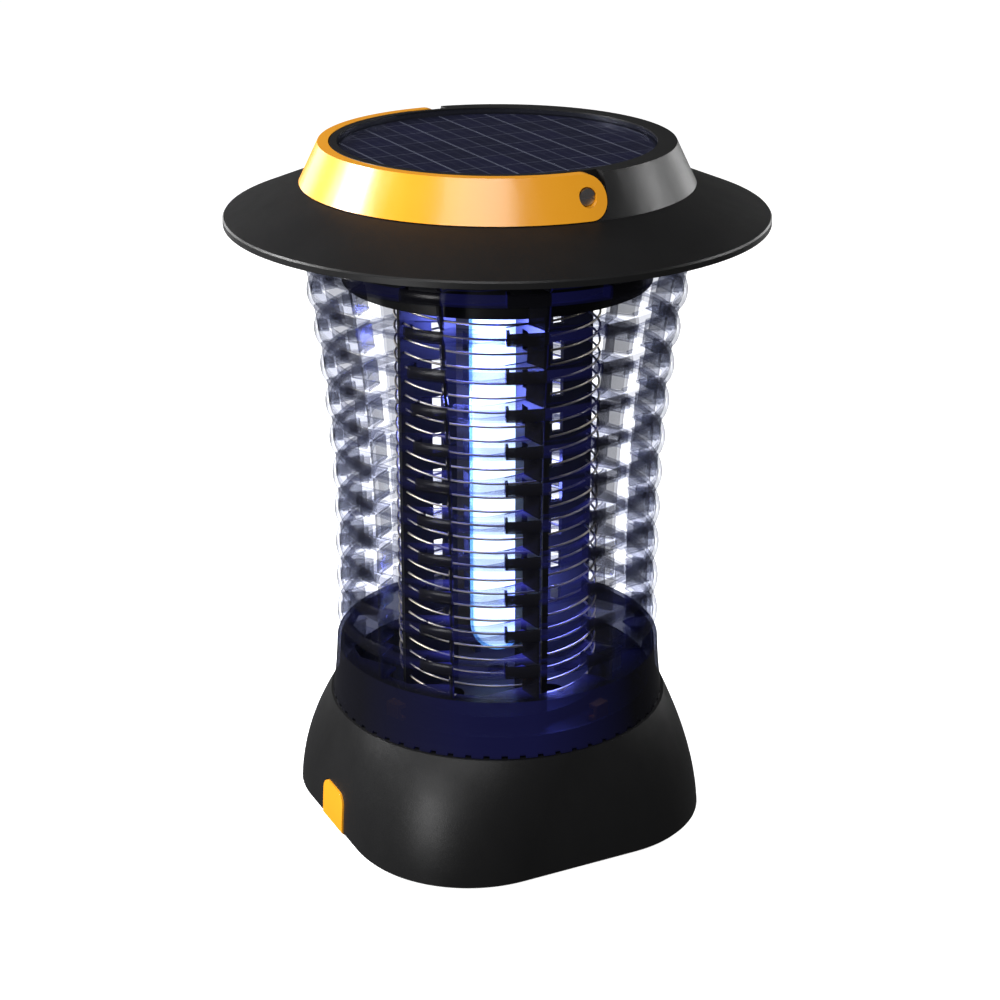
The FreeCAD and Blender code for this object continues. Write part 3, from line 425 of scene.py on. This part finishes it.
def eased(node, name, width, material, body, limit=32.0, segments=2):
    """A copy of a CAD node's mesh with its sharp edges rounded."""
    mesh = frame["nodes"][node].data.copy()
    form = bmesh.new()
    form.from_mesh(mesh)
    bmesh.ops.remove_doubles(form, verts=form.verts, dist=2e-6)
    bmesh.ops.dissolve_limit(form, angle_limit=math.radians(0.6), verts=form.verts, edges=form.edges,
                             delimit={"NORMAL"})
    form.to_mesh(mesh)
    form.free()
    if "custom_normal" in mesh.attributes:
        mesh.attributes.remove(mesh.attributes["custom_normal"])
    mesh.shade_smooth()
    piece = new_piece(name, mesh, material, body, [node])
    bevel = piece.modifiers.new("round_edges", "BEVEL")
    bevel.width = width
    bevel.segments = segments
    bevel.limit_method = "ANGLE"
    bevel.angle_limit = math.radians(limit)
    bevel.use_clamp_overlap = True
    bevel.miter_outer = "MITER_ARC"
    normals = piece.modifiers.new("flat_faces", "WEIGHTED_NORMAL")
    normals.keep_sharp = False
    normals.weight = 100
    return piece


def lathe(outline, steps):
    """A closed outline of (radius, height) turned about Z into a mesh."""
    mesh = bpy.data.meshes.new("turned")
    form = bmesh.new()
    rounds = []
    for step in range(steps):
        turn = 2 * math.pi * step / steps
        rounds.append([form.verts.new((r * math.cos(turn), r * math.sin(turn), z)) for r, z in outline])
    count = len(outline)
    for step in range(steps):
        here, there = rounds[step], rounds[(step + 1) % steps]
        for i in range(count):
            j = (i + 1) % count
            form.faces.new((here[i], there[i], there[j], here[j]))
    bmesh.ops.remove_doubles(form, verts=form.verts, dist=1e-7)
    bmesh.ops.recalc_face_normals(form, faces=form.faces)
    form.to_mesh(mesh)
    form.free()
    mesh.shade_smooth()
    return mesh


# ---------------------------------------------------------------- geometry trees
class GeometryTree(Tree):
    """A Geometry Nodes tree with named inputs."""

    def __init__(self, name, inputs):
        group = bpy.data.node_groups.new(name, "GeometryNodeTree")
        super().__init__(group)
        self.identifiers = {}
        self.values = {}
        for label, (kind, value) in inputs.items():
            socket = group.interface.new_socket(label, in_out="INPUT", socket_type=kind)
            self.identifiers[label] = socket.identifier
            self.values[label] = value
        group.interface.new_socket("Geometry", in_out="OUTPUT", socket_type="NodeSocketGeometry")
        self.source = self.add("NodeGroupInput")

    def __getitem__(self, label):
        return self.source[label]

    def position(self):
        parts = self.add("ShaderNodeSeparateXYZ", sockets={0: self.add("GeometryNodeInputPosition")[0]})
        return parts[0], parts[1], parts[2]

    def point(self, x, y, z):
        return self.add("ShaderNodeCombineXYZ", sockets={0: x, 1: y, 2: z})[0]

    def set_position(self, geometry, place):
        return self.add("GeometryNodeSetPosition", sockets={"Geometry": geometry, "Position": place})[0]

    def row(self, count, start, pitch):
        """Points stacked along Z."""
        first, offset = self.point(0.0, 0.0, start), self.point(0.0, 0.0, pitch)
        sockets = {"Count": count, "Start Location": first, "Offset": offset}
        return self.add("GeometryNodeMeshLine", {"mode": "OFFSET"}, sockets)[0]

    def spread(self, points, instance, rotation=None):
        sockets = {"Points": points, "Instance": instance}
        if rotation is not None:
            sockets["Rotation"] = rotation
        made = self.add("GeometryNodeInstanceOnPoints", sockets=sockets)[0]
        return self.add("GeometryNodeRealizeInstances", sockets={0: made})[0]

    def mesh(self, geometry, material, merge=2e-6):
        """Finish the tree and return its result as one plain mesh."""
        joined = self.add("GeometryNodeMergeByDistance", sockets={"Geometry": geometry, "Distance": merge})[0]
        placed = self.add("GeometryNodeSetMaterial", sockets={"Geometry": joined, "Material": material})[0]
        self.add("NodeGroupOutput", sockets={0: placed})
        holder = bpy.data.objects.new("holder", bpy.data.meshes.new("holder"))
        scene.collection.objects.link(holder)
        modifier = holder.modifiers.new("nodes", "NODES")
        modifier.node_group = self.tree
        for label, value in self.values.items():
            modifier[self.identifiers[label]] = value
        graph = bpy.context.evaluated_depsgraph_get()
        result = bpy.data.meshes.new_from_object(holder.evaluated_get(graph))
        holder.modifiers.remove(modifier)
        bpy.data.objects.remove(holder)
        return result


FLOAT, INTEGER = "NodeSocketFloat", "NodeSocketInt"


def guard_growth(height):
    """How far the guard's wall stands outside its waist at a height."""
    above = ((height - WAIST_HEIGHT) / FLARE_HEIGHT).maths("MAXIMUM", 0.0)
    below = ((WAIST_HEIGHT - height) / (WAIST_HEIGHT - GUARD_BOTTOM)).maths("MAXIMUM", 0.0)
    return above ** FLARE_POWER * TOP_GROW + below ** FOOT_POWER * FOOT_GROW


def moved_out(tree, geometry, distance):
    """Move points away from the Z axis."""
    x, y, z = tree.position()
    radius = (x * x + y * y) ** 0.5
    grown = (radius + distance) / radius
    return tree.set_position(geometry, tree.point(x * grown, y * grown, z))


def section_mesh(points):
    """A loose outline of (radius, height, reach) points, for a tree to read by number."""
    mesh = bpy.data.meshes.new("section")
    mesh.from_pydata([(r, z, reach) for r, z, reach in points], [], [])
    holder = bpy.data.objects.new("section", mesh)
    return holder


def louvre_section():
    """Channel with a swollen back and two fins; points with reach 1 follow the fins' toothed edge."""
    half = RING_HEIGHT / 2
    outer = [(-BULGE * (share / 4) ** 2, half * share / 4) for share in range(-4, 5)]
    outer[0] = (outer[0][0], -half + EDGE_ROUND)
    outer[-1] = (outer[-1][0], half - EDGE_ROUND)
    points = [(EDGE_ROUND, -half, 1.0), (-BULGE - EDGE_ROUND, -half, 0.0)]
    points += [(r, z, 0.0) for r, z in outer]
    points += [(-BULGE - EDGE_ROUND, half, 0.0), (EDGE_ROUND, half, 1.0), (0.0, half - EDGE_ROUND, 1.0),
               (0.0, half - FIN_THICKNESS + EDGE_ROUND, 1.0), (EDGE_ROUND, half - FIN_THICKNESS, 1.0)]
    inner = half - FIN_THICKNESS
    points += [(-WALL - BULGE * 0.7, inner, 0.0), (-WALL, 0.0, 0.0), (-WALL - BULGE * 0.7, -inner, 0.0)]
    points += [(EDGE_ROUND, -inner, 1.0), (0.0, -inner - EDGE_ROUND, 1.0), (0.0, -half + EDGE_ROUND, 1.0)]
    return points


def louvre_rings(material):
    """All louvre rings: one section carried round with toothed fins, repeated up the flaring wall."""
    section = louvre_section()
    count = len(section)
    tree = GeometryTree("louvre_rings", {
        "Section": ("NodeSocketObject", section_mesh(section)),
        "Rings": (INTEGER, len(rings)),
        "Steps Round": (INTEGER, CELLS * STEPS_PER_CELL),
        "Waist Radius": (FLOAT, WAIST_RADIUS),
        "Fin Depth": (FLOAT, FIN_DEPTH),
        "Tip Depth": (FLOAT, FIN_TIP_DEPTH),
    })
    around = tree["Steps Round"]
    sheet = tree.add("GeometryNodeMeshGrid", sockets={"Vertices X": around + 1, "Vertices Y": count + 1})[0]
    index = tree.add("GeometryNodeInputIndex")[0]
    step = (index / (count + 1.0) + 1e-4).maths("FLOOR")
    number = (index - step * (count + 1.0)) % float(count)
    source = tree.add("GeometryNodeObjectInfo", sockets={"Object": tree["Section"]})["Geometry"]
    place = tree.add("GeometryNodeInputPosition")[0]
    read = tree.add("GeometryNodeSampleIndex", {"data_type": "FLOAT_VECTOR", "domain": "POINT"},
                    {"Geometry": source, "Value": place, "Index": number.maths("ROUND")})[0]
    parts = tree.add("ShaderNodeSeparateXYZ", sockets={0: read})
    inset, height, reach = parts[0], parts[1], parts[2]
    turn = step / around * (2 * math.pi)
    share = ((turn * (180.0 / math.pi) - GUARD_FRONT_DEG) / CELL_DEG + 0.5) % 1.0
    deepen = ((share - FIN_HEEL) / (FIN_TIP - FIN_HEEL)).clamped()
    step_back = ((share - FIN_TIP) / (FIN_STEP - FIN_TIP)).clamped()
    depth = tree["Fin Depth"] + deepen * (tree["Tip Depth"] - tree["Fin Depth"])
    depth = depth - step_back * (tree["Tip Depth"] - (WALL + MM))
    radius = tree["Waist Radius"] + inset - reach * depth
    x, y = radius * turn.maths("COSINE"), radius * turn.maths("SINE")
    ring = tree.set_position(sheet, tree.point(x, y, height))
    row = tree.row(tree["Rings"], FIRST_MIDDLE, RING_PITCH)
    middle = tree.position()[2]
    stored = tree.add("GeometryNodeStoreNamedAttribute", {"data_type": "FLOAT", "domain": "POINT"},
                      {"Geometry": row, "Name": "middle", "Value": middle})[0]
    stack = tree.spread(stored, ring)
    named = tree.add("GeometryNodeInputNamedAttribute", {"data_type": "FLOAT"}, {"Name": "middle"})
    flared = moved_out(tree, stack, guard_growth(named["Attribute"]))
    return tree.mesh(flared, material)


def strut_plates(material):
    """Slanting uprights between the louvres, and the short ribs inside each louvre."""
    row_gap = RING_PITCH - RING_HEIGHT
    outer = Vector((WAIST_RADIUS - BULGE - WALL / 2, 0, 0))
    outer.rotate(Matrix.Rotation(math.radians(CELL_DEG / 2 - STRUT_END_DEG), 3, "Z"))
    inner = Vector((WAIST_RADIUS - FIN_TIP_DEPTH + STRUT_INSET, 0, 0))
    inner.rotate(Matrix.Rotation(math.radians((FIN_TIP - 0.5) * CELL_DEG), 3, "Z"))
    middle, run = (outer + inner) / 2, outer - inner
    tree = GeometryTree("louvre_struts", {
        "Cells": (INTEGER, CELLS),
        "Rows": (INTEGER, len(rings) + 1),
        "Strut Thickness": (FLOAT, WALL),
        "Rib Thickness": (FLOAT, RIB_THICKNESS),
    })

    def upright(length, thickness, height, place, turn):
        cube = tree.add("GeometryNodeMeshCube", sockets={"Size": tree.point(length, thickness, height)})[0]
        sockets = {"Geometry": cube, "Translation": place, "Rotation": (0.0, 0.0, turn)}
        return tree.add("GeometryNodeTransform", sockets=sockets)[0]

    def round_the_ring(shape):
        points = tree.add("GeometryNodeMeshLine", {"mode": "OFFSET"},
                          {"Count": tree["Cells"], "Offset": (0.0, 0.0, 0.0)})[0]
        number = tree.add("GeometryNodeInputIndex")[0]
        turn = tree.point(0.0, 0.0, number * math.radians(CELL_DEG) + math.radians(GUARD_FRONT_DEG))
        return tree.spread(points, shape, turn)

    place, turn = (middle.x, middle.y, 0.0), math.atan2(run.y, run.x)
    strut = upright(run.length, tree["Strut Thickness"], row_gap, place, turn)
    gaps = tree.row(tree["Rows"], FIRST_MIDDLE - RING_PITCH / 2, RING_PITCH)
    struts = tree.spread(gaps, round_the_ring(strut))
    rib_turn = math.radians(RIB_SHARE * CELL_DEG)
    rib_length = FIN_DEPTH - WALL / 2
    rib_out = WAIST_RADIUS - BULGE - WALL / 2 - rib_length / 2
    rib_place = (rib_out * math.cos(rib_turn), rib_out * math.sin(rib_turn), 0.0)
    rib = upright(rib_length, tree["Rib Thickness"], RING_HEIGHT - FIN_THICKNESS, rib_place, rib_turn)
    ribs = tree.spread(tree.row(len(rings), FIRST_MIDDLE, RING_PITCH), round_the_ring(rib))
    both = tree.add("GeometryNodeJoinGeometry")
    tree.tree.links.new(struts.socket, both.node.inputs[0])
    tree.tree.links.new(ribs.socket, both.node.inputs[0])
    z = tree.position()[2]
    return tree.mesh(moved_out(tree, both[0], guard_growth(z)), material, 1e-7)


def wire_rings(node, material):
    """Round wires of one electrode, evenly spaced up the grid."""
    low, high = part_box(node)
    count = round((high.z - low.z - 2 * WIRE_RADIUS) / WIRE_PITCH) + 1
    tree = GeometryTree(node, {
        "Turns": (INTEGER, count),
        "Pitch": (FLOAT, WIRE_PITCH),
        "Ring Radius": (FLOAT, high.x - WIRE_RADIUS),
        "Wire Radius": (FLOAT, WIRE_RADIUS),
    })
    path = tree.add("GeometryNodeCurvePrimitiveCircle", {"mode": "RADIUS"},
                    {"Resolution": 160, "Radius": tree["Ring Radius"]})[0]
    profile = tree.add("GeometryNodeCurvePrimitiveCircle", {"mode": "RADIUS"},
                       {"Resolution": 8, "Radius": tree["Wire Radius"]})[0]
    ring = tree.add("GeometryNodeCurveToMesh", sockets={"Curve": path, "Profile Curve": profile})[0]
    row = tree.row(tree["Turns"], low.z + WIRE_RADIUS, tree["Pitch"])
    mesh = tree.mesh(tree.spread(row, ring), material)
    mesh.shade_smooth()
    return mesh


# ---------------------------------------------------------------- camera, lights and floor
VIEW_AZIMUTH, VIEW_ELEVATION = 63.56, 22.184
VIEW_DISTANCE = 1.05757
VIEW_TARGET = Vector((0, 0, 0.150))


def towards(azimuth, elevation):
    """Unit vector from the object to a place round it."""
    a, e = math.radians(azimuth), math.radians(elevation)
    return Vector((math.sin(a) * math.cos(e), -math.cos(a) * math.cos(e), math.sin(e)))


def add_camera():
    lens = bpy.data.cameras.new("camera")
    lens.sensor_width = 36.0
    lens.lens = 75.35
    lens.shift_x, lens.shift_y = 0.0027, 0.0250
    lens.clip_start = 0.05
    camera = bpy.data.objects.new("camera", lens)
    back = towards(VIEW_AZIMUTH, VIEW_ELEVATION)
    camera.location = VIEW_TARGET + back * VIEW_DISTANCE
    camera.rotation_euler = (-back).to_track_quat("-Z", "Y").to_euler()
    scene.collection.objects.link(camera)
    scene.camera = camera


def softbox(name, side, elevation, distance, width, height, power, colour=(1.0, 1.0, 1.0)):
    """An area light; side is in degrees to the right of the camera."""
    lamp = bpy.data.lights.new(name, "AREA")
    lamp.shape = "RECTANGLE"
    lamp.size, lamp.size_y = width, height
    lamp.energy = power
    lamp.color = colour
    holder = bpy.data.objects.new(name, lamp)
    back = towards(VIEW_AZIMUTH + side, elevation)
    holder.location = Vector((0, 0, 0.17)) + back * distance
    holder.rotation_euler = (-back).to_track_quat("-Z", "Y").to_euler()
    holder.visible_camera = False
    scene.collection.objects.link(holder)


def add_lights():
    softbox("left_strip", -94.0, 24.0, 1.1, 0.22, 0.35, 20.0)
    softbox("right_strip", 104.0, 24.0, 1.1, 0.12, 0.30, 3.5)
    softbox("front_left", -37.0, 3.0, 1.3, 0.24, 0.35, 5.0)
    softbox("front_high", -12.0, 44.0, 1.5, 0.9, 0.45, 12.0)
    softbox("back_left", -140.0, 8.0, 1.5, 0.5, 0.7, 4.0)
    softbox("back_right", 140.0, 8.0, 1.5, 0.5, 0.7, 4.0)
    low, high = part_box("lamp_tube")
    for number in range(LAMP_LIGHTS):
        glow = bpy.data.lights.new("lamp_light_%d" % number, "POINT")
        glow.energy = LAMP_LIGHT_POWER
        glow.color = (0.16, 0.20, 1.0)
        glow.shadow_soft_size = 0.012
        holder = bpy.data.objects.new(glow.name, glow)
        turn = math.radians(45 + 90 * number)
        height = low.z + (high.z - low.z) * (number + 0.5) / LAMP_LIGHTS
        holder.location = (LAMP_LIGHT_OUT * math.cos(turn), LAMP_LIGHT_OUT * math.sin(turn), height)
        scene.collection.objects.link(holder)


def add_floor():
    f = Finish("studio_white")
    grain = f.noise(6.0, 2.0)
    shade = f.mix(grain, (0.93, 0.93, 0.93, 1.0), (0.96, 0.96, 0.96, 1.0))
    shader = f.principled(Base_Color=shade, Roughness=0.9, Emission_Color=shade, Emission_Strength=1.0)
    half = 6.0
    corners = [(-half, -half, 0), (half, -half, 0), (half, half, 0), (-half, half, 0)]
    mesh = bpy.data.meshes.new("floor")
    mesh.from_pydata(corners, [], [(0, 1, 2, 3)])
    mesh.materials.append(f.finish(shader))
    floor = bpy.data.objects.new("floor", mesh)
    scene.collection.objects.link(floor)
    floor.visible_glossy = False
    floor.visible_diffuse = False


def add_world():
    world = bpy.data.worlds.new("studio")
    world.use_nodes = True
    tree = Tree(world.node_tree)
    tree.tree.nodes.clear()
    seen = tree.add("ShaderNodeLightPath")["Is Camera Ray"]
    white = tree.add("ShaderNodeBackground", sockets={0: (1.0, 1.0, 1.0, 1.0), 1: 1.0})[0]
    grey = tree.add("ShaderNodeBackground", sockets={0: (1.0, 1.0, 1.0, 1.0), 1: 0.06})[0]
    both = tree.add("ShaderNodeMixShader", sockets={0: seen, 1: grey, 2: white})[0]
    tree.add("ShaderNodeOutputWorld", sockets={"Surface": both})
    scene.world = world


# ---------------------------------------------------------------- build
add_camera()
add_lights()
add_floor()
add_world()
scene.view_settings.view_transform = "Standard"
scene.cycles.transparent_max_bounces = 40

black = moulded("black_plastic", (0.0115, 0.0115, 0.0120), 0.36, specular=0.28)
# smoke paints blue lamp glow, front-side shade and the cell bars onto the louvre rings and struts; smoke_deep
# paints a weaker blue lamp glow onto the skirt and the other smoke-clear CAD nodes
smoke = smoke_plastic("smoke_plastic", 0.02, (0.90, 0.91, 0.95), 0.20, 1.5, 0.10, bar=True)
smoke_deep = smoke_plastic("smoke_plastic_deep", 0.42, (0.50, 0.52, 0.64), 0.15, 0.30, 0.28)
amber = amber_plastic()
finishes = {
    "black_plastic": black,
    "smoke_plastic": smoke_deep,
    "amber_plastic": amber,
    "screw_steel": metal("screw_steel", (0.48, 0.48, 0.50), 0.28),
    "grid_wire": drawn_wire(),
    "rubber": moulded("rubber", (0.016, 0.016, 0.016), 0.75, grain=0.0002),
    "battery_case": moulded("battery_case", (0.05, 0.09, 0.20), 0.35),
    "contact_metal": metal("contact_metal", (0.78, 0.58, 0.24), 0.25),
    "circuit_board": circuit_board(),
    "board_parts": moulded("board_parts", (0.03, 0.03, 0.035), 0.45),
    "pillar_plastic": moulded("pillar_plastic", (0.72, 0.72, 0.69), 0.5, mottle=0.06),
    "lamp_glass": lamp_glass(),
    "solar_cell": solar_cells(),
    "cover_glass": cover_glass(),
}
for part in frame["record"]["subparts"]:
    node = frame["nodes"][part["node"]]
    for place in node.material_slots:
        place.material = finishes[part["material_slot"]]

louvres = new_piece("louvre_rings", louvre_rings(smoke), smoke, "guard", rings)
new_piece("louvre_struts_set", strut_plates(smoke), smoke, "guard", ["louvre_struts"])
louvres.data.shade_smooth()
louvres.data.set_sharp_from_angle(angle=math.radians(40.0))
for side, node in (("live", "grid_wires_live"), ("ground", "grid_wires_ground")):
    wire = finishes["grid_wire"]
    new_piece("wires_" + side, wire_rings(node, wire), wire, "guard", [node])

for node, body, slot, width in (
    ("top_bezel", "guard", "black_plastic", 0.7),
    ("handle", "handle", "amber_plastic", 0.8),
    ("power_button", "button", "amber_plastic", 0.5),
):
    eased(node, node + "_moulding", width * MM, finishes[slot], body)

glow_low, glow_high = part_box("lamp_tube")
core = glow_high.x - LAMP_WALL
bottom, top = glow_low.z + LAMP_WALL, glow_high.z - LAMP_END_GAP
outline = [(0.0, top), (0.0, bottom)]
for step in range(1, LAMP_ARC_STEPS + 1):
    turn = math.pi / 2 * step / LAMP_ARC_STEPS
    outline.append((core * math.sin(turn), bottom + core * (1 - math.cos(turn))))
outline.append((core, top))
new_piece("lamp_phosphor", lathe(outline, LAMP_SIDES), lamp_glow(), "guard", [])
